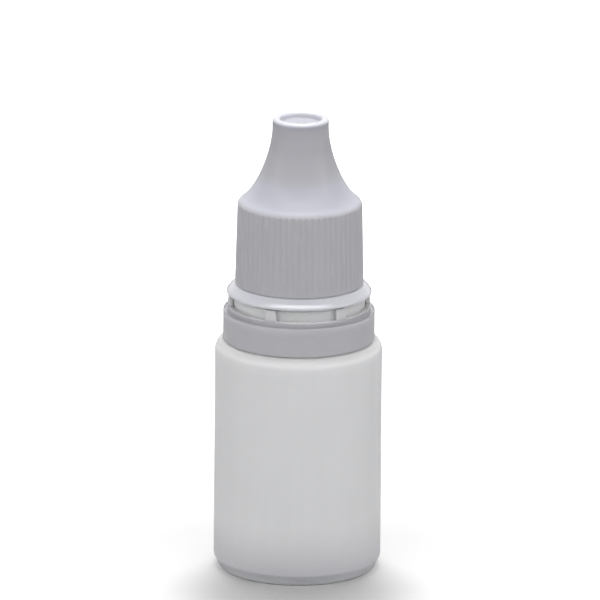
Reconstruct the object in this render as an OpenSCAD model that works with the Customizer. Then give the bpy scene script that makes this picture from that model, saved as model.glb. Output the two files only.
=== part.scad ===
// Eye drop bottle: a blow-moulded bottle, a dropper tip pressed into its neck,
// a flared screw cap and the break-away ring that stays on the neck.
// The bottle stands on z = 0, with its axis on Z.

/* [Bottle body] */
// Outer radius of the body
body_r = 12.5; // [11.5:0.1:18]
// Height of the shoulder above the table
shoulder_h = 35.2; // [20:0.1:70]
// Thickness of the blown wall
wall = 0.9; // [0.6:0.05:1.1]
// Rounding between the side and the shoulder
shoulder_round = 1.6; // [1.3:0.1:3]
// Rounding between the side and the base
base_round = 1.2; // [0.6:0.1:2]
// Width of the flat foot that the bottle stands on
foot_w = 1.8; // [1:0.1:3]
// Rise of the hollow under the base
push_up = 1.0; // [0.4:0.1:2]

/* [Neck] */
// Radius of the neck's bore
bore_r = 5.5; // [5:0.1:7]
// Thickness of the neck's wall
neck_wall = 1.7; // [1.3:0.1:2]
// Height of the neck from the shoulder to its rim
neck_h = 17.8; // [16:0.1:24]
// How far the collar under the bead stands out of the neck
collar_out = 1.4; // [0.8:0.1:1.8]
// How far the retaining bead stands out of the neck
bead_out = 2.4; // [2:0.1:3]

/* [Dropper tip] */
// Length of the plug below the neck's rim
plug_len = 8; // [5:0.1:10]
// Thickness of the plug's wall
plug_wall = 1.0; // [0.7:0.05:1.2]
// How far the sealing beads bite into the bore
seal_press = 0.03; // [0.01:0.01:0.08]
// Number of sealing beads
seal_count = 3; // [1:1:4]
// Thickness of the flange on the rim
flange_t = 1.2; // [0.8:0.1:1.6]
// Height of the nozzle above its flange
nozzle_h = 12; // [8:0.1:16]
// Radius of the nozzle at its foot
nozzle_foot_r = 3.7; // [3.3:0.1:4]
// Radius of the nozzle at its tip
nozzle_tip_r = 2.2; // [1.8:0.1:2.4]
// Radius of the hole that forms the drop
orifice_r = 0.4; // [0.25:0.05:0.6]
// Radius of the recess around the hole
mouth_r = 1.3; // [1:0.1:1.5]

/* [Screw cap] */
// Room between the neck and the cap's bore, which the threads fill
thread_room = 1.0; // [0.8:0.1:1.3]
// Thickness of the skirt at its foot, ribs included
skirt_wall = 1.4; // [1.2:0.1:2]
// How much the skirt narrows from its foot to its top
skirt_draft = 0.3; // [0.1:0.05:0.4]
// Number of grip grooves round the skirt
groove_count = 60; // [24:1:72]
// Depth of a grip groove
groove_depth = 0.16; // [0.1:0.01:0.35]
// Rounding between the skirt and the bell
cap_round = 1.3; // [1:0.1:2]
// Thickness of the bell's wall
bell_wall = 1.1; // [0.8:0.05:1.2]
// Slope of the bell where it meets the skirt
bell_slope = 34; // [30:1:45]
// Pull of the bell's curve at its foot
bell_foot_pull = 2.6; // [1.5:0.1:4]
// Pull of the bell's curve under its tip
bell_tip_pull = 3.9; // [2:0.1:5]
// Radius of the cap's tip
tip_r = 4.2; // [3.9:0.05:5]
// Straight length of the tip above the bell
tip_land = 1.3; // [1:0.1:2.5]
// Depth of the dish in the tip's top
dish_depth = 0.8; // [0.4:0.1:1.2]
// Width of the rim around the dish
rim_w = 0.95; // [0.6:0.05:1.3]
// Thickness of the web under the dish
web_t = 1.2; // [0.8:0.1:1.6]
// How far the flange at the skirt's foot stands out
flange_out = 1.2; // [0.8:0.1:1.3]
// Height of that flange
flange_h = 1.6; // [1.3:0.1:2.2]

/* [Break-away ring] */
// Thickness of the ring's wall
ring_wall = 1.35; // [1:0.05:1.6]
// Height of the ring's thick band
band_h = 4.65; // [4.2:0.05:6]
// Height of the thin collar on top of the band
rail_h = 0.5; // [0.3:0.05:1]
// How far the thin collar stands back from the band
rail_step = 0.65; // [0.3:0.05:0.7]
// Height of the windows between the bridges
window_h = 1.7; // [1.2:0.1:2.5]
// Number of bridges between the ring and the cap
bridge_count = 6; // [4:1:12]
// Width of a bridge in degrees
bridge_deg = 9; // [4:0.5:14]
// Turn of the first bridge from the +X side in degrees
bridge_turn = 6.5; // [0:0.5:60]
// Height of the catch lip's top above the ring's foot
lip_top = 2.95; // [2:0.05:3.1]
// Reach of the catch lip under the bead
lip_catch = 0.5; // [0.3:0.05:0.8]

/* [Clearances] */
// Gap between the ring and the retaining bead, and over the catch lip
ring_gap = 0.35; // [0.3:0.05:0.5]
// Gap between the retaining bead and the cap's mouth
bead_gap = 0.4; // [0.3:0.05:0.8]
// Gap under the ring and over the broken bridges
break_gap = 0.05; // [0.02:0.01:0.1]
// Gap between the nozzle's tip and the cap's web
tip_gap = 0.8; // [0.5:0.05:1.2]
// Gap between the cap's sealing pin and the hole
pin_gap = 0.06; // [0.03:0.01:0.1]

/* [Hidden] */
$fn = 96;

// Steps in a drawn arc and in the bell's curve
arc_steps = 8;
bell_steps = 22;

// Radii of the neck, outwards from the bore
neck_r = bore_r + neck_wall;
collar_r = neck_r + collar_out;
bead_r = neck_r + bead_out;
cap_bore_r = neck_r + thread_room;
skirt_r = cap_bore_r + skirt_wall;
flange_r = skirt_r + flange_out;
ring_bore_r = bead_r + ring_gap;
ring_r = ring_bore_r + ring_wall;
rail_r = ring_r - rail_step;
lip_r = bead_r - lip_catch;

// Heights, upwards from the shoulder
ring_z = shoulder_h + break_gap;
band_z = ring_z + band_h;
window_z = band_z + rail_h;
cap_z = window_z + window_h;
flange_z = cap_z + flange_h;
lip_z = ring_z + lip_top;
bead_z = lip_z + ring_gap;
bead_top = cap_z - bead_gap;
rim_z = shoulder_h + neck_h;
seat_z = rim_z + flange_t;
nozzle_z = seat_z + nozzle_h;
web_z = nozzle_z + tip_gap;
dish_z = web_z + web_t;
top_z = dish_z + dish_depth;

// Small roundings and chamfers
rim_round = 0.3;
inner_round = 0.3;
edge_round = 0.25;
lead_in = 0.6;

// Inner radius of the collar's hollow, and the funnel above it
collar_bore_r = collar_r - neck_wall;
funnel_z = bead_z + 1.3;
funnel_h = 2;

// Nozzle: fillet at its foot, rounding at its tip, and its tapering passage
foot_fillet = 0.7;
tip_round = 0.7;
passage_foot_r = nozzle_foot_r - 1.1;
passage_tip_r = nozzle_tip_r - 1.1;
mouth_depth = 0.8;
hole_len = 1.2;

// Plug: clearance between its beads, and the size of one bead
plug_gap = 0.1;
seal_w = 1.0;

// Cap: upright edge of the flange, and the flat ledge above its bevel
flange_edge = 0.5;
flange_ledge = 0.3;

// Cap: the land that presses on the dropper's flange, the sealing pin, and the skirt's top
land_gap = 0.8;
land_w = 0.8;
pin_reach = 0.5;
corner_z = seat_z + 1.35;
skirt_top_r = skirt_r - skirt_draft;

// Points of an arc about (x, z), from angle a to angle b
function arc(x, z, r, a, b) =
    [for (i = [0 : arc_steps]) let (t = a + (b - a) * i / arc_steps) [x + r * cos(t), z + r * sin(t)]];

// Points of the shallow dome that rises by h from radius r to the axis
function dome(r, h, z) =
    let (big = (r * r + h * h) / (2 * h), half = asin(r / big))
    [for (i = [0 : arc_steps]) let (t = half * i / arc_steps) [big * sin(t), z + h - big * (1 - cos(t))]];

// Point and direction of a cubic curve through four control points
function curve(p, t) =
    pow(1 - t, 3) * p[0] + 3 * pow(1 - t, 2) * t * p[1] + 3 * (1 - t) * t * t * p[2] + pow(t, 3) * p[3];
function slope(p, t) =
    pow(1 - t, 2) * (p[1] - p[0]) + 2 * (1 - t) * t * (p[2] - p[1]) + t * t * (p[3] - p[2]);

// Points of that curve, moved inwards by the distance d
function bell(p, d) =
    [for (i = [0 : bell_steps])
        let (t = i / bell_steps, s = slope(p, t), n = [s[1], -s[0]] / norm(s)) curve(p, t) + d * n];

function reversed(list) = [for (i = [len(list) - 1 : -1 : 0]) list[i]];

// The bell's control points, from the tip down to the rounding over the skirt
bell_foot = [
    skirt_top_r - cap_round + cap_round * sin(bell_slope),
    corner_z + cap_round * cos(bell_slope)
];
bell_tip = [tip_r, top_z - tip_land];
bell_points = [
    bell_tip,
    bell_tip - [0, bell_tip_pull],
    bell_foot + bell_foot_pull * [-cos(bell_slope), sin(bell_slope)],
    bell_foot
];

// Turns a closed outline in the X-Z half plane round the axis
module turned(outline) {
    rotate_extrude() polygon(outline);
}

// Thin-walled bottle with a hollow base, a round shoulder and a retaining bead
module bottle() {
    foot_r = body_r - base_round;
    dome_r = foot_r - foot_w;
    inner_r = body_r - wall;
    base_in = max(base_round - wall, inner_round);
    shoulder_in = max(shoulder_round - wall, inner_round);
    outside = concat(
        dome(dome_r, push_up, 0),
        arc(foot_r, base_round, base_round, -90, 0),
        arc(body_r - shoulder_round, shoulder_h - shoulder_round, shoulder_round, 0, 90),
        [[collar_r + inner_round, shoulder_h], [collar_r, shoulder_h + inner_round]],
        [[collar_r, bead_z], [bead_r, bead_z], [bead_r, bead_top]],
        [[neck_r, cap_z - break_gap]],
        arc(neck_r - rim_round, rim_z - rim_round, rim_round, 0, 90)
    );
    inside = concat(
        [[bore_r, rim_z], [bore_r, funnel_z + funnel_h]],
        [[collar_bore_r, funnel_z], [collar_bore_r, shoulder_h - wall]],
        arc(inner_r - shoulder_in, shoulder_h - wall - shoulder_in, shoulder_in, 90, 0),
        arc(inner_r - base_in, wall + base_in, base_in, 0, -90),
        reversed(dome(dome_r, push_up, wall))
    );
    color([0.80, 0.80, 0.81]) turned(concat(outside, inside));
}

// One sealing bead of the plug, centred on the height z
function seal_bead(z) =
    let (plug_r = bore_r - plug_gap, rise = plug_gap + seal_press)
    [[plug_r, z - seal_w / 2], [plug_r + rise, z - seal_w / 6],
     [plug_r + rise, z + seal_w / 6], [plug_r, z + seal_w / 2]];

// Plug with sealing beads, flange on the rim, and a nozzle with a drop-forming mouth
module dropper_tip() {
    plug_r = bore_r - plug_gap;
    plug_in_r = plug_r - plug_wall;
    plug_z = rim_z - plug_len;
    rim_r = neck_r - rim_round;
    seal_pitch = (plug_len - 2 * lead_in) / seal_count;
    seals = [for (i = [0 : seal_count - 1]) each seal_bead(plug_z + lead_in + (i + 0.5) * seal_pitch)];
    hole_z = nozzle_z - mouth_depth;
    outside = concat(
        [[plug_in_r, plug_z], [plug_r - lead_in / 2, plug_z], [plug_r, plug_z + lead_in]],
        seals,
        [[plug_r, rim_z], [rim_r, rim_z], [rim_r, seat_z - edge_round], [rim_r - edge_round, seat_z]],
        arc(nozzle_foot_r + foot_fillet, seat_z + foot_fillet, foot_fillet, 270, 185),
        arc(nozzle_tip_r - tip_round, nozzle_z - tip_round, tip_round, 5, 90)
    );
    passage = [
        [mouth_r, nozzle_z],
        [orifice_r, hole_z],
        [orifice_r, hole_z - hole_len],
        [passage_tip_r, hole_z - hole_len - lead_in],
        [passage_foot_r, seat_z + foot_fillet],
        [plug_in_r, rim_z]
    ];
    color([0.87, 0.87, 0.88]) turned(concat(outside, passage));
}

// Outline of the cap: flange, drafted skirt, bell, dished tip, then the inside down to the mouth
function cap_outline() =
    let (
        land_r = nozzle_foot_r + foot_fillet + land_gap,
        inner_bell = bell(bell_points, bell_wall),
        bell_over = [for (p = inner_bell) if (p[0] < cap_bore_r - inner_round) p],
        above_land = [for (p = bell_over) if (p[0] < land_r) p],
        beside_land = [for (p = bell_over) if (p[0] > land_r + land_w) p],
        land_top = above_land[len(above_land) - 1][1],
        pin_r = orifice_r - pin_gap,
        hole_z = nozzle_z - mouth_depth
    )
    concat(
        arc(flange_r - edge_round, cap_z + edge_round, edge_round, -90, 0),
        [[flange_r, cap_z + flange_edge], [skirt_r + flange_ledge, flange_z], [skirt_r, flange_z]],
        arc(skirt_top_r - cap_round, corner_z, cap_round, 0, 90 - bell_slope),
        reversed([for (i = [0 : bell_steps - 1]) curve(bell_points, i / bell_steps)]),
        arc(tip_r - edge_round, top_z - edge_round, edge_round, 0, 90),
        [[tip_r - rim_w, top_z]],
        [[tip_r - rim_w - dish_depth / 2, dish_z], [0, dish_z]],
        [[0, hole_z - pin_reach], [pin_r / 2, hole_z - pin_reach], [pin_r, hole_z - pin_reach / 2]],
        [[pin_r, hole_z + pin_gap], [mouth_r - 2 * pin_gap, nozzle_z + pin_gap]],
        [[mouth_r, web_z], [inner_bell[0][0] - inner_round, web_z], [inner_bell[0][0], web_z - inner_round]],
        [for (p = above_land) if (p[1] < web_z - 2 * inner_round) p],
        [[land_r, land_top], [land_r, seat_z], [land_r + land_w, seat_z]],
        [[land_r + land_w, beside_land[0][1]]],
        beside_land,
        [[cap_bore_r, seat_z], [cap_bore_r, cap_z + lead_in], [cap_bore_r + lead_in / 2, cap_z]]
    );

// One upright grip groove, leaning with the skirt's draft
module grip_groove() {
    run = corner_z + cap_round - flange_z;
    lean = atan(skirt_draft / (corner_z - flange_z));
    translate([skirt_r, 0, flange_z + edge_round]) rotate([0, -lean, 0])
        cylinder(r = groove_depth, h = run, $fn = 4);
}

// Screw cap with a ribbed skirt, a flared bell and a sealing pin under its tip
module screw_cap() {
    color([0.66, 0.66, 0.69]) difference() {
        turned(cap_outline());
        for (i = [0 : groove_count - 1])
            rotate([0, 0, 360 * i / groove_count]) grip_groove();
    }
}

// Ring with a catch lip inside, a thin collar on top and bridges up to the cap
module tamper_ring() {
    lip_out = ring_bore_r - lip_r;
    window_deg = 360 / bridge_count - bridge_deg;
    reach = 2 * ring_r;
    band = concat(
        [[ring_bore_r, ring_z]],
        arc(ring_r - edge_round, ring_z + edge_round, edge_round, -90, 0),
        arc(ring_r - edge_round, band_z - edge_round, edge_round, 0, 90),
        [[rail_r, band_z], [rail_r, cap_z - break_gap], [ring_bore_r, cap_z - break_gap]],
        [[ring_bore_r, lip_z], [lip_r, lip_z], [lip_r, lip_z - edge_round]],
        [[ring_bore_r, lip_z - edge_round - lip_out]]
    );
    color([0.66, 0.66, 0.69]) difference() {
        turned(band);
        for (i = [0 : bridge_count - 1])
            rotate([0, 0, bridge_turn + bridge_deg / 2 + 360 * i / bridge_count])
                translate([0, 0, window_z]) linear_extrude(window_h)
                    polygon([[0, 0], [reach, 0], [reach * cos(window_deg), reach * sin(window_deg)]]);
    }
}

bottle();
dropper_tip();
screw_cap();
tamper_ring();
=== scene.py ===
"""Looks of an eye drop bottle: a blown bottle, its dropper tip, a ribbed screw cap and a break-away ring.

Sizes are in millimetres and become metres where a mesh is made. Radii are taken from the
bottle's axis, and heights from the surface that it stands on.
"""
import logging
import math
from collections.abc import Callable
from dataclasses import dataclass
from enum import Enum
from typing import ClassVar

import bmesh
import bpy
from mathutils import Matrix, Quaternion, Vector


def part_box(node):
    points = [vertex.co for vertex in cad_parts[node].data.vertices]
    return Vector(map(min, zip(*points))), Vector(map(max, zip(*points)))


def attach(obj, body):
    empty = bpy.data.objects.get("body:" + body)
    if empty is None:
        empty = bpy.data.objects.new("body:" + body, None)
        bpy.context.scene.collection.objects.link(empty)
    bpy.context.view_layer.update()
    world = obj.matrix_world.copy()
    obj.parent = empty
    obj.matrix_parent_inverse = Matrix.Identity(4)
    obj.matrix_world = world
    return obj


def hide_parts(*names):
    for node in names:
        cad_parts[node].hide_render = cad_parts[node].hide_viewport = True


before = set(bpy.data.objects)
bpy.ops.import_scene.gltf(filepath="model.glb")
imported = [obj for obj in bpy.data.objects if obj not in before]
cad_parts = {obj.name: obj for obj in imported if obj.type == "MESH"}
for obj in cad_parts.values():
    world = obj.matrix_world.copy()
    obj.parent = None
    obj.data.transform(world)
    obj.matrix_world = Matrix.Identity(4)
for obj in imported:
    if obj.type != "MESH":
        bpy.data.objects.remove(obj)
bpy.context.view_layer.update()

Colour = tuple[float, float, float]
Place = tuple[float, float]
NodeSocket = bpy.types.NodeSocket
NodeTree = bpy.types.NodeTree

MM = 0.001
FULL_TURN = 2 * math.pi


class Body(Enum):
    """Bodies of the frame that a piece can ride on."""

    BOTTLE = "bottle"
    RING = "tamper_ring"
    CAP = "screw_cap"


class Slot(Enum):
    """Material slots of the record."""

    BOTTLE = "bottle_plastic"
    TIP = "tip_plastic"
    CAP = "cap_plastic"


class Socket(Enum):
    """Kinds of socket that a node group has."""

    COLOUR = "NodeSocketColor"
    VALUE = "NodeSocketFloat"


def srgb(red: int, green: int, blue: int) -> Colour:
    """Turns a colour as a screen shows it into a linear one.

    Args:
        red: Red from 0 to 255.
        green: Green from 0 to 255.
        blue: Blue from 0 to 255.

    Returns:
        The linear red, green and blue from 0 to 1.
    """
    shares = [step / 255 for step in (red, green, blue)]
    linear = [s / 12.92 if s <= 0.04045 else ((s + 0.055) / 1.055) ** 2.4 for s in shares]
    return linear[0], linear[1], linear[2]


def eased(value: float, start: float, end: float) -> float:
    """Rises smoothly from 0 at start to 1 at end, also where end lies below start.

    Args:
        value: The value to place between the two.
        start: Where the rise starts.
        end: Where the rise ends.

    Returns:
        The share of the rise, from 0 to 1.
    """
    share = min(max((value - start) / (end - start), 0.0), 1.0)
    return share * share * (3 - 2 * share)


@dataclass(frozen=True)
class Reach:
    """Outer radius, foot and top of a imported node."""

    radius: float
    foot: float
    top: float

    @classmethod
    def of(cls, node: str) -> "Reach":
        """Reads the reach of a node from the frame."""
        low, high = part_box(node)
        return cls(high.x / MM, low.z / MM, high.z / MM)


@dataclass(frozen=True)
class Knot:
    """Corner of an outline, with the radius of its rounding."""

    r: float
    z: float
    bend: float = 0.0


@dataclass(frozen=True)
class Spot:
    """Point of an outline, with the direction that faces out of the plastic."""

    r: float
    z: float
    out_r: float
    out_z: float

    def pushed(self, distance: float) -> Place:
        """Gives the place at this distance outside the spot."""
        return self.r + distance * self.out_r, self.z + distance * self.out_z


@dataclass(frozen=True)
class Outline:
    """Outline of a turned piece in the X-Z half plane, with the plastic on its left."""

    knots: list[Knot]
    closed: bool
    degrees_per_step: ClassVar[float] = 15.0

    def rounded(self) -> list[Place]:
        """Draws each knot's rounding as an arc.

        Returns:
            The places along the outline.
        """
        places: list[Place] = []
        count = len(self.knots)
        for index, knot in enumerate(self.knots):
            is_end = not self.closed and index in (0, count - 1)
            if knot.bend == 0 or is_end:
                places.append((knot.r, knot.z))
                continue
            before = self.knots[index - 1]
            after = self.knots[(index + 1) % count]
            places.extend(self._arc(before, knot, after))
        return places

    def _arc(self, before: Knot, corner: Knot, after: Knot) -> list[Place]:
        """Draws the arc that rounds one corner.

        Args:
            before: The knot before the corner.
            corner: The corner to round.
            after: The knot after the corner.

        Returns:
            The places along the arc.
        """
        middle = Vector((corner.r, corner.z))
        back = (Vector((before.r, before.z)) - middle).normalized()
        ahead = (Vector((after.r, after.z)) - middle).normalized()
        half = back.angle(ahead) / 2
        centre = middle + (back + ahead).normalized() * corner.bend / math.sin(half)
        start = middle + back * corner.bend / math.tan(half) - centre
        turn = math.pi - 2 * half
        side = 1.0 if back.x * ahead.y - back.y * ahead.x < 0 else -1.0
        steps = max(2, math.ceil(math.degrees(turn) / self.degrees_per_step))
        first = math.atan2(start.y, start.x)
        angles = [first + side * turn * step / steps for step in range(steps + 1)]
        return [(centre.x + corner.bend * math.cos(a), centre.y + corner.bend * math.sin(a)) for a in angles]

    def spots(self, pitch: Callable[[float, float], float]) -> list[Spot]:
        """Places spots along the outline.

        Args:
            pitch: Gives the longest step between spots near a radius and height.

        Returns:
            The spots in order.
        """
        corners = self.rounded()
        ends = corners[1:] + corners[:1] if self.closed else corners[1:]
        places: list[Place] = []
        for (r0, z0), (r1, z1) in zip(corners, ends):
            longest = pitch((r0 + r1) / 2, (z0 + z1) / 2)
            steps = max(1, math.ceil(math.hypot(r1 - r0, z1 - z0) / longest))
            places.extend((r0 + (r1 - r0) * i / steps, z0 + (z1 - z0) * i / steps) for i in range(steps))
        if not self.closed:
            places.append(corners[-1])
        return self._faced(places)

    def _faced(self, places: list[Place]) -> list[Spot]:
        """Adds to each place the direction that faces out of the plastic.

        Args:
            places: The places along the outline.

        Returns:
            The places as spots.
        """
        count = len(places)
        spots = []
        for index, (r, z) in enumerate(places):
            before = places[index - 1] if self.closed or index > 0 else (r, z)
            after = places[(index + 1) % count] if self.closed or index < count - 1 else (r, z)
            along_r, along_z = after[0] - before[0], after[1] - before[1]
            length = math.hypot(along_r, along_z)
            spots.append(Spot(r, z, along_z / length, -along_r / length))
        return spots


@dataclass(frozen=True)
class Thread:
    """Right-handed screw thread, as a ridge that stands on a round wall."""

    start_z: float
    turns: float = 1.75
    pitch: float = 2.5
    height: float = 0.45
    crest: float = 0.5
    root: float = 1.3
    run_out: float = 0.9

    def rise(self, angle: float, z: float) -> float:
        """Gives how far the ridge stands out of the wall.

        Args:
            angle: Angle round the axis, in radians.
            z: Height on the wall.

        Returns:
            The distance from the wall, from 0 up to the thread's height.
        """
        lead = (z - self.start_z) / self.pitch - angle / FULL_TURN
        lap = round(lead)
        wound = angle + FULL_TURN * lap
        ends = eased(wound, 0, self.run_out) * eased(self.turns * FULL_TURN - wound, 0, self.run_out)
        offset = abs(lead - lap) * self.pitch
        return self.height * ends * eased(offset, self.root / 2, self.crest / 2)


def dome(radius: float, rise: float, z: float, steps: int = 12) -> list[Knot]:
    """Draws the arc of a shallow dome from the axis out to its edge.

    Args:
        radius: Radius of the dome's edge.
        rise: Height of the dome's middle above its edge.
        z: Height of the dome's edge.
        steps: Number of steps in the arc.

    Returns:
        The knots from the axis up to, and without, the edge.
    """
    big = (radius**2 + rise**2) / (2 * rise)
    half = math.asin(radius / big)
    angles = [half * step / steps for step in range(steps)]
    return [Knot(big * math.sin(a), z + rise - big * (1 - math.cos(a))) for a in angles]


def join_rings(shape: bmesh.types.BMesh, low: list, high: list) -> None:
    """Joins two rings of vertices with faces that look out of the plastic.

    Args:
        shape: The mesh that the faces go into.
        low: The ring that comes first along the outline.
        high: The next ring. One ring may have twice the points of the other, or be one point.
    """
    count = min(len(low), len(high))
    if count == 1:
        count = max(len(low), len(high))
    for j in range(count):
        if len(low) == len(high):
            k = (j + 1) % count
            faces = [(low[j], low[k], high[k], high[j])]
        elif len(low) == 1:
            faces = [(low[0], high[(j + 1) % count], high[j])]
        elif len(high) == 1:
            faces = [(low[j], low[(j + 1) % count], high[0])]
        elif len(low) < len(high):
            first, last = low[j], low[(j + 1) % count]
            a, b, c = high[2 * j], high[2 * j + 1], high[(2 * j + 2) % len(high)]
            faces = [(first, b, a), (first, last, b), (last, c, b)]
        else:
            first, last = high[j], high[(j + 1) % count]
            a, b, c = low[2 * j], low[2 * j + 1], low[(2 * j + 2) % len(low)]
            faces = [(a, b, first), (b, last, first), (b, c, last)]
        for face in faces:
            shape.faces.new(face)


class Sketch:
    """Node tree that nodes are added to and joined in."""

    def __init__(self, tree: NodeTree) -> None:
        """Keeps the tree to draw in."""
        self.tree = tree

    def add(self, kind: str, **settings: object) -> bpy.types.Node:
        """Adds a node.

        Args:
            kind: Type of the node, without its ShaderNode prefix.
            **settings: Settings of the node.

        Returns:
            The new node.
        """
        node = self.tree.nodes.new("ShaderNode" + kind)
        for name, value in settings.items():
            setattr(node, name, value)
        return node

    def feed(self, target: NodeSocket, source: object) -> None:
        """Joins a socket to the target, or sets the target's value.

        Args:
            target: The input socket.
            source: An output socket, or the value to set.
        """
        if isinstance(source, NodeSocket):
            self.tree.links.new(source, target)
        else:
            target.default_value = source

    def fill(self, node: bpy.types.Node, inputs: dict[str, object]) -> None:
        """Feeds several inputs of a node, each by its name."""
        for label, source in inputs.items():
            self.feed(node.inputs[label], source)

    def maths(self, operation: str, first: object, second: object) -> NodeSocket:
        """Adds a sum of two values.

        Args:
            operation: Name of the operation.
            first: First value or socket.
            second: Second value or socket.

        Returns:
            The socket of the result.
        """
        node = self.add("Math", operation=operation)
        self.feed(node.inputs[0], first)
        self.feed(node.inputs[1], second)
        return node.outputs[0]

    def stretched(self, scale: tuple[float, float, float] = (1.0, 1.0, 1.0)) -> NodeSocket:
        """Gives the piece's own coordinates, multiplied along each axis by the scale."""
        node = self.add("VectorMath", operation="MULTIPLY")
        self.feed(node.inputs[0], self.add("TexCoord").outputs["Object"])
        self.feed(node.inputs[1], scale)
        return node.outputs[0]

    def noise(self, place: NodeSocket, scale: object, detail: float) -> NodeSocket:
        """Adds a noise.

        Args:
            place: Coordinates of the noise.
            scale: Number or socket with the number of cells in a metre.
            detail: Number of finer layers.

        Returns:
            The socket of the noise, from 0 to 1.
        """
        node = self.add("TexNoise")
        self.fill(node, {"Vector": place, "Scale": scale, "Detail": detail})
        return node.outputs["Fac"]

    def between(self, value: object, low: object, high: object) -> NodeSocket:
        """Gives how far a value is from low to high, smoothly from 0 to 1."""
        node = self.add("MapRange", interpolation_type="SMOOTHSTEP")
        self.fill(node, {"Value": value, "From Min": low, "From Max": high})
        return node.outputs["Result"]

    def blended(self, share: object, first: object, second: object) -> NodeSocket:
        """Blends two colours.

        Args:
            share: How much of the second colour shows, from 0 to 1.
            first: First colour or socket.
            second: Second colour or socket.

        Returns:
            The socket of the colour.
        """
        node = self.add("MixRGB")
        self.feed(node.inputs[0], share)
        self.feed(node.inputs[1], first if not isinstance(first, tuple) else (*first, 1.0))
        self.feed(node.inputs[2], second if not isinstance(second, tuple) else (*second, 1.0))
        return node.outputs[0]

    def effect(self, group: NodeTree, **inputs: object) -> bpy.types.Node:
        """Places a node group.

        Args:
            group: The node group.
            **inputs: Its inputs, with underscores for spaces.

        Returns:
            The node.
        """
        node = self.add("Group")
        node.node_tree = group
        self.fill(node, {name.replace("_", " "): value for name, value in inputs.items()})
        return node


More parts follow.
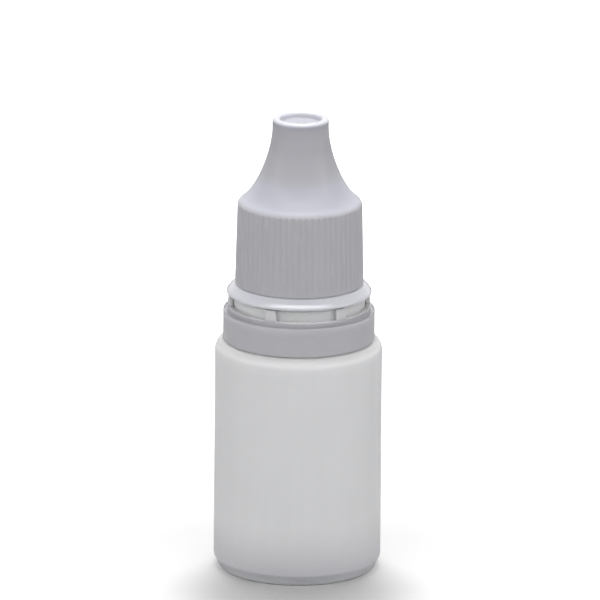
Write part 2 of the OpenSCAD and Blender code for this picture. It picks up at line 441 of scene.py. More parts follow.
class Effects:
    """Node groups that the finishes share, each built once."""

    streak_stretch = (1.0, 1.0, 0.07)
    streak_fineness = 4.0
    scratch_stretches = ((0.7, 0.7, 6.0), (1.3, 0.9, 0.09))
    scratch_limits = (0.66, 0.72)
    scratch_patch_scale = 160.0
    scratch_patch_limits = (0.48, 0.66)
    broken_edge_scale = 900.0
    broken_edge_limits = (0.3, 0.6)

    def __init__(self) -> None:
        """Builds the groups."""
        self.cloudy_tone = self._cloudy_tone()
        self.moulded_grain = self._moulded_grain()
        self.handling_marks = self._handling_marks()
        self.worn_edges = self._worn_edges()

    @staticmethod
    def _group(name: str, inputs: dict[str, Socket], outputs: dict[str, Socket]) -> tuple[Sketch, dict, dict]:
        """Makes an empty node group.

        Args:
            name: Name of the group.
            inputs: Name and kind of each input.
            outputs: Name and kind of each output.

        Returns:
            The sketch of the group, its sockets to read from, and its sockets to feed.
        """
        tree = bpy.data.node_groups.new(name, "ShaderNodeTree")
        for label, kind in inputs.items():
            tree.interface.new_socket(name=label, in_out="INPUT", socket_type=kind.value)
        for label, kind in outputs.items():
            tree.interface.new_socket(name=label, in_out="OUTPUT", socket_type=kind.value)
        given = tree.nodes.new("NodeGroupInput")
        result = tree.nodes.new("NodeGroupOutput")
        sources = {label: given.outputs[label] for label in inputs}
        targets = {label: result.inputs[label] for label in outputs}
        return Sketch(tree), sources, targets

    def _cloudy_tone(self) -> NodeTree:
        """Builds the soft patches and upright flow streaks in a plastic's colour."""
        inputs = {"Colour": Socket.COLOUR, "Patch Scale": Socket.VALUE}
        inputs |= {"Patch Amount": Socket.VALUE, "Streak Amount": Socket.VALUE}
        sketch, given, result = self._group("cloudy_tone", inputs, {"Colour": Socket.COLOUR})
        patch = sketch.noise(sketch.stretched(), given["Patch Scale"], 3.0)
        streak_scale = sketch.maths("MULTIPLY", given["Patch Scale"], self.streak_fineness)
        streak = sketch.noise(sketch.stretched(self.streak_stretch), streak_scale, 2.0)
        patch_part = sketch.maths("MULTIPLY", sketch.maths("SUBTRACT", patch, 0.5), given["Patch Amount"])
        streak_part = sketch.maths("MULTIPLY", sketch.maths("SUBTRACT", streak, 0.5), given["Streak Amount"])
        tone = sketch.maths("ADD", 1.0, sketch.maths("ADD", patch_part, streak_part))
        scaled = sketch.add("VectorMath", operation="SCALE")
        sketch.feed(scaled.inputs[0], given["Colour"])
        sketch.feed(scaled.inputs["Scale"], tone)
        sketch.feed(result["Colour"], scaled.outputs[0])
        return sketch.tree

    def _moulded_grain(self) -> NodeTree:
        """Builds the fine grain that a mould leaves, over the slow ripple of shrinkage."""
        inputs = {"Grain Scale": Socket.VALUE, "Ripple Scale": Socket.VALUE, "Ripple Share": Socket.VALUE}
        outputs = {"Height": Socket.VALUE, "Ripple": Socket.VALUE}
        sketch, given, result = self._group("moulded_grain", inputs, outputs)
        place = sketch.stretched()
        grain = sketch.noise(place, given["Grain Scale"], 2.0)
        ripple = sketch.noise(place, given["Ripple Scale"], 1.0)
        slow = sketch.maths("MULTIPLY", ripple, given["Ripple Share"])
        sketch.feed(result["Height"], sketch.maths("ADD", grain, slow))
        sketch.feed(result["Ripple"], ripple)
        return sketch.tree

    def _handling_marks(self) -> NodeTree:
        """Builds sparse hair scratches that lie in patches."""
        sketch, given, result = self._group("handling_marks", {"Scale": Socket.VALUE}, {"Mask": Socket.VALUE})
        cloud = sketch.noise(sketch.stretched(), self.scratch_patch_scale, 2.0)
        patches = sketch.between(cloud, *self.scratch_patch_limits)
        marks: object = 0.0
        for stretch in self.scratch_stretches:
            hairs = sketch.noise(sketch.stretched(stretch), given["Scale"], 3.0)
            marks = sketch.maths("MAXIMUM", marks, sketch.between(hairs, *self.scratch_limits))
        sketch.feed(result["Mask"], sketch.maths("MULTIPLY", marks, patches))
        return sketch.tree

    def _worn_edges(self) -> NodeTree:
        """Builds the mask of edges that handling polishes."""
        inputs = {"Start": Socket.VALUE, "End": Socket.VALUE}
        sketch, given, result = self._group("worn_edges", inputs, {"Mask": Socket.VALUE})
        pointed = sketch.add("NewGeometry").outputs["Pointiness"]
        broken = sketch.noise(sketch.stretched(), self.broken_edge_scale, 3.0)
        edge = sketch.between(pointed, given["Start"], given["End"])
        gaps = sketch.between(broken, *self.broken_edge_limits)
        sketch.feed(result["Mask"], sketch.maths("MULTIPLY", edge, gaps))
        return sketch.tree


@dataclass(frozen=True)
class PaintedLightZone:
    """Band of painted light or shade on a plastic that begins at one height and is complete at another, with
    polish and gloss that change its roughness and coat.
    """

    start: float
    full: float
    colour: Colour
    polish: float = 0.0
    gloss: float = 0.0


@dataclass(frozen=True)
class Finish:
    """Moulded soft plastic: its colour, gloss, grain and what light does inside it, with bands of painted
    light and shade by height.
    """

    name: str
    colour: Colour
    worn_colour: Colour
    depth_colour: Colour
    spread: float
    patch_amount: float
    streak_amount: float
    ripple_share: float
    # Bands of colour by height that stand in for light and shade.
    painted_light_zones: tuple[PaintedLightZone, ...] = ()
    roughness: float = 0.38
    depth: float = 0.8
    grain_height: float = 0.02
    edge_polish: float = 0.06
    edge_start: ClassVar[float] = 0.52
    edge_end: ClassVar[float] = 0.60
    edge_wear: ClassVar[float] = 0.5
    coat_roughness: ClassVar[float] = 0.15
    patch_scale: ClassVar[float] = 140.0
    grain_scale: ClassVar[float] = 5200.0
    ripple_scale: ClassVar[float] = 210.0
    ripple_gloss: ClassVar[float] = 0.12
    scratch_scale: ClassVar[float] = 1500.0
    scratch_wear: ClassVar[float] = 0.35
    scratch_dullness: ClassVar[float] = 0.14
    bump_strength: ClassVar[float] = 0.35

    def material(self, effects: Effects) -> bpy.types.Material:
        """Builds the material.

        Args:
            effects: The node groups that the finishes share.

        Returns:
            The material.
        """
        material = bpy.data.materials.new(self.name)
        material.use_nodes = True
        sketch = Sketch(material.node_tree)
        shader = material.node_tree.nodes["Principled BSDF"]
        tone = sketch.effect(
            effects.cloudy_tone,
            Colour=(*self.colour, 1.0),
            Patch_Scale=self.patch_scale,
            Patch_Amount=self.patch_amount,
            Streak_Amount=self.streak_amount,
        ).outputs["Colour"]
        grain = sketch.effect(
            effects.moulded_grain,
            Grain_Scale=self.grain_scale,
            Ripple_Scale=self.ripple_scale,
            Ripple_Share=self.ripple_share,
        ).outputs
        marks = sketch.effect(effects.handling_marks, Scale=self.scratch_scale).outputs["Mask"]
        edges = sketch.effect(effects.worn_edges, Start=self.edge_start, End=self.edge_end).outputs["Mask"]
        worn_marks = sketch.maths("MULTIPLY", marks, self.scratch_wear)
        worn = sketch.maths("MAXIMUM", worn_marks, sketch.maths("MULTIPLY", edges, self.edge_wear))
        # The height bands paint light and shade into the colour, and add their polish and gloss.
        zoned, polish, gloss_coat = self._zoned(sketch, tone)
        gloss = sketch.maths("MULTIPLY", sketch.maths("SUBTRACT", grain["Ripple"], 0.5), self.ripple_gloss)
        dull_marks = sketch.maths("MULTIPLY", marks, self.scratch_dullness)
        rough = sketch.maths("ADD", sketch.maths("ADD", gloss, self.roughness), dull_marks)
        rough = sketch.maths("SUBTRACT", rough, polish)
        rough = sketch.maths("SUBTRACT", rough, sketch.maths("MULTIPLY", edges, self.edge_polish))
        bump = sketch.add("Bump")
        height = sketch.maths("SUBTRACT", grain["Height"], marks)
        rise = self.grain_height * MM
        sketch.fill(bump, {"Strength": self.bump_strength, "Distance": rise, "Height": height})
        looks = {
            "Base Color": sketch.blended(worn, zoned, self.worn_colour),
            "Roughness": rough,
            "Coat Weight": gloss_coat,
            "Coat Roughness": self.coat_roughness,
            "Normal": bump.outputs["Normal"],
            "Subsurface Weight": self.depth,
            "Subsurface Radius": self.depth_colour,
            "Subsurface Scale": self.spread * MM,
        }
        sketch.fill(shader, looks)
        return material

    def _zoned(self, sketch: Sketch, colour: NodeSocket) -> tuple[NodeSocket, object, object]:
        """Blends the colour into the painted light or shade of each band, and adds up their polish and gloss.

        Args:
            sketch: The material's sketch.
            colour: The colour outside the zones.

        Returns:
            The socket of the colour, the polish that comes off the roughness, and the weight of the gloss.
        """
        parts = sketch.add("SeparateXYZ")
        sketch.feed(parts.inputs[0], sketch.stretched())
        polish: object = 0.0
        gloss: object = 0.0
        for zone in self.painted_light_zones:
            share = sketch.between(parts.outputs["Z"], zone.start * MM, zone.full * MM)
            colour = sketch.blended(share, colour, zone.colour)
            polish = sketch.maths("ADD", polish, sketch.maths("MULTIPLY", share, zone.polish))
            gloss = sketch.maths("ADD", gloss, sketch.maths("MULTIPLY", share, zone.gloss))
        return colour, polish, gloss


MILKY = Finish(
    name="milky_blown_plastic",
    colour=srgb(240, 239, 240),
    worn_colour=srgb(246, 246, 246),
    roughness=0.42,
    depth=0.95,
    depth_colour=(1.0, 0.96, 0.9),
    spread=2.2,
    painted_light_zones=(
        # Painted shade: darker towards the foot, where the floor in front lies in shadow.
        PaintedLightZone(10.0, 0.0, srgb(205, 205, 210)),
        # Painted light: lighter again at the very bottom, lifting the dark contact shade at the foot's edge.
        PaintedLightZone(1.3, 0.1, srgb(250, 250, 252)),
        # Painted shadow of the break-away ring on the shoulder and the collar.
        PaintedLightZone(34.0, 34.75, srgb(208, 207, 207)),
        # Painted light: the neck from its bead up lighter and warmer, a glow where it shows in the ring's
        # windows under the flange's shade.
        PaintedLightZone(37.5, 38.5, srgb(252, 252, 244)),
    ),
    patch_amount=0.05,
    streak_amount=0.05,
    grain_height=0.03,
    ripple_share=3.0,
)
NATURAL = Finish(
    name="natural_tip_plastic",
    colour=srgb(228, 228, 230),
    worn_colour=srgb(238, 238, 239),
    depth_colour=(1.0, 0.97, 0.92),
    spread=0.8,
    patch_amount=0.03,
    streak_amount=0.02,
    ripple_share=1.0,
)
GREY_WHITE = Finish(
    name="grey_white_cap_plastic",
    colour=srgb(186, 185, 190),
    worn_colour=srgb(206, 207, 213),
    depth_colour=(1.0, 0.97, 0.95),
    spread=1.1,
    edge_polish=0.1,
    painted_light_zones=(
        # Painted highlight: the flange below the skirt lighter, with a real polish and a gloss coat.
        PaintedLightZone(43.9, 43.7, srgb(200, 201, 208), polish=0.2, gloss=0.8),
        # Painted light: the bridges in the flange's shade lighter still; polish and gloss go back to the
        # skirt's.
        PaintedLightZone(42.1, 41.9, srgb(212, 211, 214), polish=-0.2, gloss=-0.8),
        # Painted light: the ring band comes back down to a tone a shade lighter than the skirt.
        PaintedLightZone(40.7, 40.3, srgb(190, 189, 194)),
        # Painted light: the bell from its foot up takes a cooler tint, standing in for the cool light from
        # above on its slope.
        PaintedLightZone(56.0, 56.6, srgb(185, 186, 196)),
        # Painted shade: the bell darker where it turns upright and gets less light from above.
        PaintedLightZone(59.0, 61.5, srgb(178, 177, 183)),
        # Painted shade: the tip a little darker than the skirt, to tone down its top-lit dish.
        PaintedLightZone(64.5, 66.5, srgb(183, 182, 188)),
        # Painted shade: the dish and the top of the tip darker.
        PaintedLightZone(67.7, 68.2, srgb(175, 176, 184)),
        # Painted highlight on the rim round the dish, with a real polish.
        PaintedLightZone(68.5, 68.9, srgb(202, 203, 210), polish=0.1),
    ),
    patch_amount=0.04,
    streak_amount=0.03,
    ripple_share=2.0,
)


@dataclass
class TurnedPiece:
    """Piece turned round the bottle's axis, with relief that changes with the angle."""

    name: ClassVar[str] = ""
    node: ClassVar[str] = ""
    body: ClassVar[Body] = Body.BOTTLE
    slot: ClassVar[Slot] = Slot.BOTTLE
    segments: ClassVar[int] = 240
    longest_step: ClassVar[float] = 1.0
    thread_step: ClassVar[float] = 0.15
    shading_weight: ClassVar[int] = 60

    def outline(self) -> Outline:
        """Draws the outline that the piece is turned from."""
        raise NotImplementedError

    def angles(self) -> list[float]:
        """Gives the angles round the axis at which the piece has points."""
        return [FULL_TURN * i / self.segments for i in range(self.segments)]

    def pitch(self, r: float, z: float) -> float:
        """Gives the longest step along the outline near a place."""
        return self.longest_step

    def is_coarse(self, spot: Spot) -> bool:
        """Says whether a ring has only every second angle."""
        return False

    def relief(self, angle: float, spot: Spot) -> Place:
        """Gives the place of a point of the outline at an angle."""
        return spot.r, spot.z

    def build(self, material: bpy.types.Material) -> bpy.types.Object:
        """Builds the piece and dresses it.

        Args:
            material: The finished material.

        Returns:
            The piece, riding on its body.
        """
        outline = self.outline()
        spots = outline.spots(self.pitch)
        shape = bmesh.new()
        angles = self.angles()
        rings = [self._ring(shape, spot, angles) for spot in spots]
        for low, high in zip(rings, rings[1:] + rings[:1] if outline.closed else rings[1:]):
            join_rings(shape, low, high)
        for face in shape.faces:
            face.smooth = True
        mesh = bpy.data.meshes.new(self.name)
        shape.to_mesh(mesh)
        shape.free()
        mesh.materials.append(material)
        piece = bpy.data.objects.new(self.name, mesh)
        bpy.context.scene.collection.objects.link(piece)
        shading = piece.modifiers.new("even_shading", "WEIGHTED_NORMAL")
        shading.weight = self.shading_weight
        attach(piece, self.body.value)
        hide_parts(self.node)
        return piece

    def _ring(self, shape: bmesh.types.BMesh, spot: Spot, angles: list[float]) -> list[bmesh.types.BMVert]:
        """Adds the ring of vertices that one spot sweeps.

        Args:
            shape: The mesh that the vertices go into.
            spot: The spot of the outline.
            angles: All angles of the piece.

        Returns:
            The vertices, or one vertex where the spot lies on the axis.
        """
        if spot.r == 0:
            return [shape.verts.new((0, 0, spot.z * MM))]
        ring = []
        for angle in angles[::2] if self.is_coarse(spot) else angles:
            r, z = self.relief(angle, spot)
            ring.append(shape.verts.new((r * math.cos(angle) * MM, r * math.sin(angle) * MM, z * MM)))
        return ring


@dataclass
class BlownBottle(TurnedPiece):
    """Blow-moulded bottle with a hollow foot, a round shoulder and a threaded neck."""

    body_r: float
    rim_z: float
    shoulder_z: float
    cap_mouth_z: float
    wall: float = 0.9
    shoulder_round: float = 1.6
    base_round: float = 1.2
    foot_w: float = 1.8
    edge_w: float = 0.85
    edge_h: float = 1.7
    edge_round: float = 0.4
    push_up: float = 1.0
    neck_r: float = 7.2
    bore_r: float = 5.5
    collar_r: float = 8.6
    bead_r: float = 9.85
    bead_foot_z: float = 38.55
    bead_gap: float = 0.15
    funnel_z: float = 39.85
    funnel_h: float = 2.0
    seam_room: float = 0.045
    seam_rise: float = 0.035
    seam_w: float = 0.14
    weld_rise: float = 0.28
    weld_w: float = 0.45
    weld_crest_w: float = 0.1
    weld_reach: float = 6.5
    weld_full: float = 4.5
    wave: float = 0.035
    calm_h: float = 6.0
    foot_round: float = 0.3
    collar_round: float = 0.3
    bead_round: float = 0.15
    bead_crown: float = 0.25
    bead_drop: float = 0.05
    neck_fillet: float = 0.4
    rim_round: float = 0.3
    bore_round: float = 0.15
    inner_round: float = 0.5
    thread_foot: float = 3.6

    name: ClassVar[str] = "bottle_shell"
    node: ClassVar[str] = "bottle"
    seam_columns: ClassVar[tuple[float, ...]] = (0.3, 0.55, 0.85)
    foot_step: ClassVar[float] = 0.4

    def __post_init__(self) -> None:
        """Places the top of the bead and the neck's thread."""
        self.bead_top_z = self.cap_mouth_z - self.bead_gap
        self.thread = Thread(self.cap_mouth_z + self.thread_foot)

    def outline(self) -> Outline:
        """Draws the bottle from the middle of its foot, up outside and down inside."""
        side_r = self.body_r - self.seam_room
        foot_r = self.body_r - self.base_round - self.foot_w
        inner_r = self.body_r - self.wall
        collar_bore_r = self.collar_r - (self.neck_r - self.bore_r)
        inner_shoulder_z = self.shoulder_z - self.wall
        outside = [
            Knot(foot_r, 0, self.foot_round),
            Knot(side_r - self.edge_w, 0, self.edge_round),
            Knot(side_r, self.edge_h, self.edge_round),
            Knot(side_r, self.shoulder_z, self.shoulder_round),
            Knot(self.collar_r, self.shoulder_z, self.collar_round),
            Knot(self.collar_r, self.bead_foot_z, self.bead_round),
            Knot(self.bead_r, self.bead_foot_z, self.bead_round),
            Knot(self.bead_r, self.bead_top_z, self.bead_crown),
            Knot(self.neck_r, self.cap_mouth_z - self.bead_drop, self.neck_fillet),
            Knot(self.neck_r, self.rim_z, self.rim_round),
        ]
        inside = [
            Knot(self.bore_r, self.rim_z, self.bore_round),
            Knot(self.bore_r, self.funnel_z + self.funnel_h, self.inner_round),
            Knot(collar_bore_r, self.funnel_z, self.inner_round),
            Knot(collar_bore_r, inner_shoulder_z, self.inner_round),
            Knot(inner_r, inner_shoulder_z, self.shoulder_round - self.wall),
            Knot(inner_r, self.wall, self.base_round - self.wall),
            Knot(foot_r, self.wall),
        ]
        lower = dome(foot_r, self.push_up, 0)
        upper = dome(foot_r, self.push_up, self.wall)
        return Outline(lower + outside + inside + upper[::-1], closed=False)

    def angles(self) -> list[float]:
        """Adds columns beside the two mould seams."""
        near = [math.radians(side * step) for step in self.seam_columns for side in (-1, 1)]
        seams = [(half + offset) % FULL_TURN for half in (0, math.pi) for offset in near]
        return sorted(super().angles() + seams)

    def pitch(self, r: float, z: float) -> float:
        """Keeps the steps short on the neck's thread and on the foot."""
        on_thread = abs(r - self.neck_r) < 0.1 and z > self.cap_mouth_z
        on_foot = z < self.push_up and r < self.body_r - self.base_round
        if on_thread:
            return self.thread_step
        return self.foot_step if on_foot else self.longest_step

    def relief(self, angle: float, spot: Spot) -> Place:
        """Adds the mould seams, the weld under the foot, the wall's slow waves and the thread."""
        outer_side = spot.out_r > 0.9 and spot.r > self.bead_r
        distance = 0.0
        if outer_side:
            above_foot = eased(spot.z, self.base_round, self.calm_h)
            under_shoulder = eased(self.shoulder_z - spot.z, self.shoulder_round, self.calm_h)
            swell = math.sin(2 * angle + spot.z / 6) + math.sin(3 * angle - spot.z / 9 + 1) - 2
            distance += self.wave * above_foot * under_shoulder * swell / 4
        if abs(spot.r - self.neck_r) < 0.01:
            distance += self.thread.rise(angle, spot.z)
        aside = spot.r * abs(math.sin(angle))
        seam_zone = spot.z < self.shoulder_z and (outer_side or spot.out_z > 0.5 and spot.r > self.collar_r)
        if seam_zone:
            distance += self.seam_rise * eased(aside, self.seam_w, 0)
        dome_r = self.body_r - self.base_round - self.foot_w
        if spot.out_z < -0.5 and spot.z < self.push_up and spot.r < dome_r:
            along = spot.r * abs(math.cos(angle))
            ridge = eased(aside, self.weld_w, self.weld_crest_w)
            distance += self.weld_rise * ridge * eased(along, self.weld_reach, self.weld_full)
        return spot.pushed(distance)


@dataclass
class DropperTip(TurnedPiece):
    """Plug with sealing beads, a flange on the rim, and the nozzle that forms the drop."""

    rim_z: float
    plug_z: float
    nozzle_z: float
    flange_r: float
    flange_t: float = 1.2
    plug_r: float = 5.4
    plug_wall: float = 1.0
    lead_in: float = 0.6
    bead_rise: float = 0.13
    bead_w: float = 1.0
    bead_count: int = 3
    foot_r: float = 3.76
    tip_r: float = 2.2
    tip_round: float = 0.7
    mouth_r: float = 1.3
    mouth_depth: float = 0.8
    hole_r: float = 0.4
    hole_len: float = 1.2
    foot_fillet: float = 0.7
    foot_wall: float = 1.16
    tip_wall: float = 1.1
    flange_round: float = 0.12
    seat_round: float = 0.3
    inner_round: float = 0.5

    name: ClassVar[str] = "dropper_insert"
    node: ClassVar[str] = "dropper_tip"
    slot: ClassVar[Slot] = Slot.TIP
    segments: ClassVar[int] = 160

    def outline(self) -> Outline:
        """Draws the tip from the plug's foot, up outside and down its passage."""
        seat_z = self.rim_z + self.flange_t
        inner_r = self.plug_r - self.plug_wall
        hole_z = self.nozzle_z - self.mouth_depth
        plug = [
            Knot(inner_r, self.plug_z, 0.1),
            Knot(self.plug_r - self.lead_in / 2, self.plug_z, 0.15),
            Knot(self.plug_r, self.plug_z + self.lead_in, 0.2),
        ]
        nozzle = [
            Knot(self.plug_r, self.rim_z, 0.05),
            Knot(self.flange_r, self.rim_z, self.flange_round),
            Knot(self.flange_r, seat_z, self.seat_round),
            Knot(self.foot_r, seat_z, self.foot_fillet),
            Knot(self.tip_r, self.nozzle_z, self.tip_round),
            Knot(self.mouth_r, self.nozzle_z, 0.15),
            Knot(self.hole_r, hole_z, 0.08),
            Knot(self.hole_r, hole_z - self.hole_len, 0.05),
            Knot(self.tip_r - self.tip_wall, hole_z - self.hole_len - self.lead_in, 0.1),
            Knot(self.foot_r - self.foot_wall, seat_z + self.foot_fillet, self.inner_round),
            Knot(inner_r, self.rim_z, self.inner_round),
        ]
        return Outline(plug + self._beads() + nozzle, closed=True)

    def _beads(self) -> list[Knot]:
        """Draws the sealing beads that bite into the neck's bore."""
        room = (self.rim_z - self.plug_z - 2 * self.lead_in) / self.bead_count
        knots = []
        for index in range(self.bead_count):
            z = self.plug_z + self.lead_in + (index + 0.5) * room
            for r, side in ((0, -0.5), (self.bead_rise, -0.15), (self.bead_rise, 0.15), (0, 0.5)):
                knots.append(Knot(self.plug_r + r, z + side * self.bead_w, 0.1))
        return knots


@dataclass
class ScrewCap(TurnedPiece):
    """Screw cap with a ribbed skirt, a flared bell, a dished tip and a sealing pin."""

    mouth_z: float
    top_z: float
    flange_r: float
    seat_z: float
    nozzle_z: float
    bore_r: float = 8.2
    skirt_r: float = 9.6
    skirt_top_r: float = 9.3
    flange_h: float = 1.6
    flange_edge: float = 0.5
    flange_ledge: float = 0.1
    flange_under_w: float = 0.6
    flange_under_h: float = 0.2
    crease_w: float = 0.15
    crease_h: float = 0.3
    flange_crest_w: float = 0.4
    flange_crest_h: float = 1.0
    corner_round: float = 1.3
    corner_z: float = 55.55
    bell_slope: float = 34.0
    bell_foot_pull: float = 2.6
    bell_tip_pull: float = 3.9
    bell_wall: float = 1.1
    tip_r: float = 4.2
    tip_land: float = 1.3
    rim_w: float = 0.95
    dish_depth: float = 0.8
    web_t: float = 1.2
    land_r: float = 5.2
    land_w: float = 0.8
    land_root: float = 0.6
    pin_r: float = 0.34
    pin_reach: float = 0.5
    pin_gap: float = 0.06
    pin_foot_r: float = 1.18
    pin_root_r: float = 1.3
    drop_mouth_depth: float = 0.8
    seat_gap: float = 0.02
    bore_room: float = 0.3
    mouth_bevel_w: float = 0.3
    mouth_bevel_h: float = 0.6
    thread_foot: float = 2.2
    gate_r: float = 0.5
    gate_rise: float = 0.12
    groove_count: int = 60
    groove_depth: float = 0.09
    groove_w: float = 0.42
    groove_foot: float = 0.15
    groove_full: float = 0.5

    name: ClassVar[str] = "cap_shell"
    node: ClassVar[str] = "screw_cap"
    body: ClassVar[Body] = Body.CAP
    slot: ClassVar[Slot] = Slot.CAP
    groove_columns: ClassVar[tuple[float, ...]] = (0.0, 0.12, 0.24, 0.36, 0.5, 0.64, 0.76, 0.88)
    bell_steps: ClassVar[int] = 40
    corner_steps: ClassVar[int] = 8

    def __post_init__(self) -> None:
        """Places the flange's top, and the thread in the bore below the neck's."""
        self.flange_z = self.mouth_z + self.flange_h
        self.thread = Thread(self.mouth_z + self.thread_foot)

    def _bell(self, inset: float) -> list[Place]:
        """Draws the bell's curve from the tip down to the skirt's rounding.

        Args:
            inset: Distance inside the outer face.

        Returns:
            The places along the curve.
        """
        slope = math.radians(self.bell_slope)
        corner_r = self.skirt_top_r - self.corner_round
        tip = Vector((self.tip_r, self.top_z - self.tip_land))
        out = Vector((math.sin(slope), math.cos(slope)))
        foot = Vector((corner_r, self.corner_z)) + self.corner_round * out
        over = foot + self.bell_foot_pull * Vector((-math.cos(slope), math.sin(slope)))
        under = tip - Vector((0, self.bell_tip_pull))
        places = []
        for step in range(self.bell_steps + 1):
            t = step / self.bell_steps
            u = 1 - t
            place = u**3 * tip + 3 * u * u * t * under + 3 * u * t * t * over + t**3 * foot
            along = u * u * (under - tip) + 2 * u * t * (over - under) + t * t * (foot - over)
            inward = Vector((along.y, -along.x)).normalized()
            places.append(tuple(place + inset * inward))
        return places

    def _inside(self) -> list[Knot]:
        """Draws the inside from the sealing pin out and down to the cap's mouth."""
        hole_z = self.nozzle_z - self.drop_mouth_depth
        web_z = self.top_z - self.dish_depth - self.web_t
        bell = self._bell(self.bell_wall)
        land_out_r = self.land_r + self.land_w
        land_z = self.seat_z + self.seat_gap
        over_land = [p for p in bell if p[0] < self.land_r and p[1] < web_z - self.land_root]
        beside_land = [p for p in bell if land_out_r < p[0] < self.bore_r - self.bore_room]
        pin = [
            Knot(0, hole_z - self.pin_reach),
            Knot(self.pin_r, hole_z - self.pin_reach, 0.2),
            Knot(self.pin_r, hole_z + self.pin_gap, 0.05),
            Knot(self.pin_foot_r, self.nozzle_z + self.pin_gap, 0.1),
            Knot(self.pin_root_r, web_z, 0.1),
            Knot(bell[0][0], web_z, 0.3),
        ]
        land = [
            Knot(self.land_r, over_land[-1][1], 0.15),
            Knot(self.land_r, land_z, 0.2),
            Knot(land_out_r, land_z, 0.2),
            Knot(land_out_r, beside_land[0][1], 0.15),
        ]
        mouth = [
            Knot(self.bore_r, self.seat_z, 0.3),
            Knot(self.bore_r, self.mouth_z + self.mouth_bevel_h, 0.2),
            Knot(self.bore_r + self.mouth_bevel_w, self.mouth_z, 0.15),
        ]
        return pin + [Knot(*p) for p in over_land] + land + [Knot(*p) for p in beside_land] + mouth

    def _outside(self) -> list[Knot]:
        """Draws the outside from the mouth up to the middle of the dished tip."""
        corner_r = self.skirt_top_r - self.corner_round
        turn = math.radians(90 - self.bell_slope)
        corner = [
            Knot(corner_r + self.corner_round * math.cos(a), self.corner_z + self.corner_round * math.sin(a))
            for a in (turn * step / self.corner_steps for step in range(self.corner_steps))
        ]
        dish_z = self.top_z - self.dish_depth
        dish_r = self.tip_r - self.rim_w
        flange = [
            Knot(self.flange_r - self.flange_under_w, self.mouth_z, 0.1),
            Knot(self.flange_r, self.mouth_z + self.flange_under_h, 0.1),
            Knot(self.flange_r, self.mouth_z + self.flange_edge, 0.3),
            Knot(self.flange_r - self.flange_crest_w, self.mouth_z + self.flange_crest_h, 0.4),
            Knot(self.skirt_r + self.flange_ledge, self.flange_z, 0.2),
            Knot(self.skirt_r - self.crease_w, self.flange_z, 0.05),
            Knot(self.skirt_r - self.crease_w, self.flange_z + self.crease_h / 2, 0.05),
            Knot(self.skirt_r, self.flange_z + self.crease_h, 0.1),
        ]
        tip = [
            Knot(self.tip_r, self.top_z, 0.5),
            Knot(dish_r, self.top_z, 0.2),
            Knot(dish_r - self.dish_depth / 2, dish_z, 0.3),
            Knot(self.gate_r + 0.1, dish_z, 0.08),
            Knot(self.gate_r, dish_z + self.gate_rise, 0.06),
            Knot(0, dish_z + self.gate_rise),
        ]
        return flange + corner + [Knot(*p) for p in reversed(self._bell(0.0))] + tip

    def outline(self) -> Outline:
        """Draws the cap from the sealing pin to the middle of the dished tip."""
        return Outline(self._inside() + self._outside(), closed=False)

    def angles(self) -> list[float]:
        """Gives the columns that each grip groove needs."""
        pitch = FULL_TURN / self.groove_count
        return [(i + share) * pitch for i in range(self.groove_count) for share in self.groove_columns]

    def pitch(self, r: float, z: float) -> float:
        """Keeps the steps short on the thread in the bore."""
        return self.thread_step if abs(r - self.bore_r) < 0.1 else self.longest_step

    def is_coarse(self, spot: Spot) -> bool:
        """Leaves every second column out away from the grip grooves."""
        on_skirt = spot.out_r > 0.3 and self.flange_z <= spot.z <= self.corner_z + self.corner_round
        return not (on_skirt and spot.r > self.bore_r + self.bore_room)

    def relief(self, angle: float, spot: Spot) -> Place:
        """Adds the thread in the bore and the grip grooves in the skirt."""
        if abs(spot.r - self.bore_r) < 0.01 and spot.out_r < 0:
            return spot.pushed(self.thread.rise(angle, spot.z))
        if self.is_coarse(spot):
            return spot.r, spot.z
        share = (angle * self.groove_count / FULL_TURN + 0.5) % 1 - 0.5
        height = (spot.z - self.flange_z) / (self.corner_z - self.flange_z)
        skin_r = self.skirt_r + (self.skirt_top_r - self.skirt_r) * height
        start = eased(spot.z, self.flange_z + self.groove_foot, self.flange_z + self.groove_full)
        depth = self.groove_depth * start * eased(abs(share), self.groove_w, 0)
        return min(spot.r, skin_r - depth), spot.z


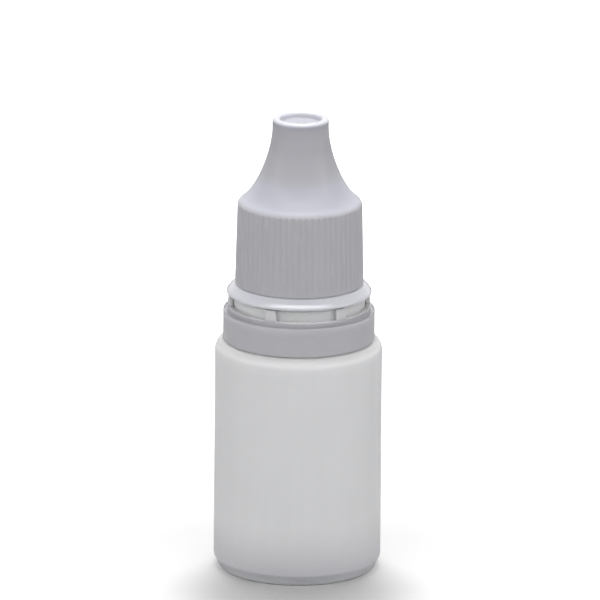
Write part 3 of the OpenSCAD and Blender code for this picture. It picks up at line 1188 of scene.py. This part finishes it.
@dataclass
class BreakawayRing(TurnedPiece):
    """Ring on the neck with a catch lip, a thin collar and the bridges up to the cap."""

    radius: float
    foot_z: float
    bridge_top_z: float
    bore_r: float = 9.95
    band_h: float = 4.4
    rail_h: float = 0.75
    rail_r: float = 10.65
    rim_w: float = 0.07
    rim_round: float = 0.06
    groove_h: float = 0.45
    lip_r: float = 9.1
    lip_h: float = 2.95
    foot_round: float = 0.12
    edge_round: float = 0.25
    bridge_count: int = 6
    bridge_deg: float = 9.0
    bridge_turn: float = 6.5
    bridge_taper: float = 0.4
    bridge_root: float = 0.11
    bridge_thinning: float = 0.3

    name: ClassVar[str] = "breakaway_ring"
    node: ClassVar[str] = "tamper_ring"
    body: ClassVar[Body] = Body.RING
    slot: ClassVar[Slot] = Slot.CAP
    longest_step: ClassVar[float] = 0.6
    bridge_columns: ClassVar[tuple[float, ...]] = (-0.9, -0.6, -0.3, 0.0, 0.3)

    def outline(self) -> Outline:
        """Draws the ring from its foot, up outside and down over the catch lip."""
        band_z = self.foot_z + self.band_h
        rail_z = band_z + self.rail_h
        lip_z = self.foot_z + self.lip_h
        reach = self.bore_r - self.lip_r
        knots = [
            Knot(self.bore_r, self.foot_z, 0.1),
            Knot(self.radius, self.foot_z, self.foot_round),
            Knot(self.radius, band_z, self.rim_round),
            Knot(self.radius - self.rim_w, band_z, self.rim_round),
            Knot(self.radius - self.rim_w, band_z - self.groove_h, 0.1),
            Knot(self.rail_r, band_z - self.groove_h, 0.1),
            Knot(self.rail_r, rail_z, 0.1),
            Knot(self.bore_r, rail_z, 0.1),
            Knot(self.bore_r, lip_z, 0.1),
            Knot(self.lip_r, lip_z, 0.1),
            Knot(self.lip_r, lip_z - self.edge_round, 0.1),
            Knot(self.bore_r, lip_z - self.edge_round - reach, 0.2),
        ]
        return Outline(knots, closed=True)

    def angles(self) -> list[float]:
        """Adds columns at the sides of the bridges."""
        steps = [self.bridge_deg / 2 + step * self.bridge_taper for step in self.bridge_columns]
        offsets = [side * step for side in (-1, 1) for step in steps]
        middles = [self.bridge_turn + 360 * i / self.bridge_count for i in range(self.bridge_count)]
        sides = [math.radians(middle + offset) % FULL_TURN for middle in middles for offset in offsets]
        return sorted(set(super().angles() + sides))

    def relief(self, angle: float, spot: Spot) -> Place:
        """Lifts the collar's top into the bridges, which grow thinner upwards."""
        rail_z = self.foot_z + self.band_h + self.rail_h
        if spot.z < rail_z - self.bridge_root:
            return spot.r, spot.z
        pitch = 360 / self.bridge_count
        aside = abs((math.degrees(angle) - self.bridge_turn + pitch / 2) % pitch - pitch / 2)
        top, *_, foot = (self.bridge_deg / 2 + step * self.bridge_taper for step in self.bridge_columns)
        lift = eased(aside, foot, top)
        middle = (self.bore_r + self.rail_r) / 2
        r = spot.r + self.bridge_thinning * lift * (middle - spot.r)
        return r, spot.z + lift * (self.bridge_top_z - rail_z)


@dataclass(frozen=True)
class Lamp:
    """Soft lamp that looks at the bottle."""

    name: str
    azimuth: float
    elevation: float
    width: float
    height: float
    power: float
    distance: ClassVar[float] = 0.8

    def build(self, target: Vector) -> None:
        """Hangs the lamp.

        Args:
            target: The point that it looks at, in metres.
        """
        light = bpy.data.lights.new(self.name, "AREA")
        light.shape = "RECTANGLE"
        light.size = self.width
        light.size_y = self.height
        light.energy = self.power
        lamp = bpy.data.objects.new(self.name, light)
        lamp.location = target + self.distance * bearing(self.azimuth, self.elevation)
        lamp.rotation_euler = (target - lamp.location).to_track_quat("-Z", "Y").to_euler()
        lamp.visible_camera = False
        bpy.context.scene.collection.objects.link(lamp)


def bearing(azimuth: float, elevation: float) -> Vector:
    """Gives the direction from the bottle to something around it.

    Args:
        azimuth: Degrees from the front, towards the right.
        elevation: Degrees above the floor.

    Returns:
        The direction, one long.
    """
    turn, climb = math.radians(azimuth), math.radians(elevation)
    return Vector((math.sin(turn) * math.cos(climb), -math.cos(turn) * math.cos(climb), math.sin(climb)))


@dataclass(frozen=True)
class Studio:
    """White table, soft lamps and a long lens."""

    camera_elevation: float = 16.0
    camera_distance: float = 1.5
    view_width: float = 89.3
    aim: tuple[float, float, float] = (0.13, 0.0, 40.94)
    camera_roll: float = 0.5
    floor_side: float = 6.0
    floor_colour: Colour = (0.48, 0.48, 0.48)
    shadow_y: float = -15.0
    shadow_core: float = 0.4
    shadow_reach: float = 22.0
    shadow_lift: float = 0.35
    white_reach: float = 150.0
    room_light: float = 0.01
    lamps: tuple[Lamp, ...] = (
        Lamp("back_lamp", azimuth=180, elevation=70, width=0.45, height=0.45, power=6.2),
        Lamp("top_lamp", azimuth=0, elevation=61, width=1.4, height=0.2, power=4.4),
        Lamp("front_lamp", azimuth=0, elevation=24, width=1.6, height=0.25, power=2.1),
        Lamp("right_lamp", azimuth=75, elevation=22, width=0.4, height=0.4, power=1.1),
        Lamp("left_lamp", azimuth=-75, elevation=22, width=0.4, height=0.4, power=1.05),
    )

    def build(self) -> None:
        """Builds the table, the lamps, the surroundings and the camera."""
        self._floor()
        self._surroundings()
        for lamp in self.lamps:
            lamp.build(Vector(self.aim) * MM)
        self._camera()
        bpy.context.scene.view_settings.view_transform = "Standard"

    def _floor(self) -> None:
        """Lays the pale table, which a glow that only the camera sees paints white around the shadow. The
        glow rises with distance from a point in front of the bottle, so the lamps' shadow keeps its dark core
        and its falloff is partly painted light.
        """
        half = self.floor_side / 2
        shape = bmesh.new()
        corners = ((-half, -half), (half, -half), (half, half), (-half, half))
        shape.faces.new([shape.verts.new((x, y, 0)) for x, y in corners])
        mesh = bpy.data.meshes.new("table")
        shape.to_mesh(mesh)
        shape.free()
        material = bpy.data.materials.new("white_table")
        material.use_nodes = True
        sketch = Sketch(material.node_tree)
        shader = material.node_tree.nodes["Principled BSDF"]
        seen = sketch.add("LightPath").outputs["Is Camera Ray"]
        away = sketch.add("VectorMath", operation="DISTANCE")
        sketch.feed(away.inputs[0], sketch.stretched())
        sketch.feed(away.inputs[1], (0.0, self.shadow_y * MM, 0.0))
        distance = away.outputs["Value"]
        near = sketch.between(distance, self.shadow_core * self.shadow_reach * MM, self.shadow_reach * MM)
        far = sketch.between(distance, self.shadow_reach * MM, self.white_reach * MM)
        # Painted light: a camera-only glow, none at the shadow's core, rising around it and to white far
        # away.
        lift = sketch.maths("ADD", sketch.maths("MULTIPLY", near, self.shadow_lift), far)
        looks = {
            "Base Color": (*self.floor_colour, 1.0),
            "Roughness": 1.0,
            "Specular IOR Level": 0.0,
            "Emission Color": (1.0, 1.0, 1.0, 1.0),
            "Emission Strength": sketch.maths("MULTIPLY", seen, lift),
        }
        sketch.fill(shader, looks)
        mesh.materials.append(material)
        floor = bpy.data.objects.new("table", mesh)
        bpy.context.scene.collection.objects.link(floor)

    def _surroundings(self) -> None:
        """Makes the room white where it is seen or mirrored, and dimmer as a light."""
        world = bpy.data.worlds.new("white_room")
        world.use_nodes = True
        bpy.context.scene.world = world
        sketch = Sketch(world.node_tree)
        background = world.node_tree.nodes["Background"]
        path = sketch.add("LightPath")
        seen = sketch.maths("MAXIMUM", path.outputs["Is Camera Ray"], path.outputs["Is Glossy Ray"])
        seen = sketch.maths("MAXIMUM", seen, path.outputs["Is Transmission Ray"])
        strength = sketch.maths("ADD", self.room_light, sketch.maths("MULTIPLY", seen, 1.0 - self.room_light))
        sketch.fill(background, {"Color": (1.0, 1.0, 1.0, 1.0), "Strength": strength})

    def _camera(self) -> None:
        """Sets up the camera on its long lens."""
        lens = bpy.data.cameras.new("camera")
        target = Vector(self.aim) * MM
        lens.lens = lens.sensor_width * self.camera_distance / (self.view_width * MM)
        camera = bpy.data.objects.new("camera", lens)
        camera.location = target + self.camera_distance * bearing(0, self.camera_elevation)
        look = (target - camera.location).to_track_quat("-Z", "Y")
        roll = Quaternion((0, 0, 1), math.radians(self.camera_roll))
        camera.rotation_euler = (look @ roll).to_euler()
        bpy.context.scene.collection.objects.link(camera)
        bpy.context.scene.camera = camera


def main() -> None:
    """Builds every piece in order, then the studio around them."""
    logging.basicConfig(level=logging.INFO, format="%(message)s")
    effects = Effects()
    bottle, tip = Reach.of("bottle"), Reach.of("dropper_tip")
    cap, ring = Reach.of("screw_cap"), Reach.of("tamper_ring")
    break_gap = 0.05
    tip_flange_t = 1.2
    pieces: list[tuple[TurnedPiece, Finish]] = [
        (BlownBottle(bottle.radius, bottle.top, ring.foot - break_gap, cap.foot), MILKY),
        (DropperTip(bottle.top, tip.foot, tip.top, tip.radius, tip_flange_t), NATURAL),
        (ScrewCap(cap.foot, cap.top, cap.radius, bottle.top + tip_flange_t, tip.top), GREY_WHITE),
        (BreakawayRing(ring.radius, ring.foot, ring.top), GREY_WHITE),
    ]
    materials = {finish.name: finish.material(effects) for finish in (MILKY, NATURAL, GREY_WHITE)}
    for piece, finish in pieces:
        made = piece.build(materials[finish.name])
        faces = len(made.data.polygons)
        logging.info("%s: %d faces of %s, on %s", made.name, faces, finish.name, piece.body.value)
    Studio().build()


if __name__ == "__main__":
    main()
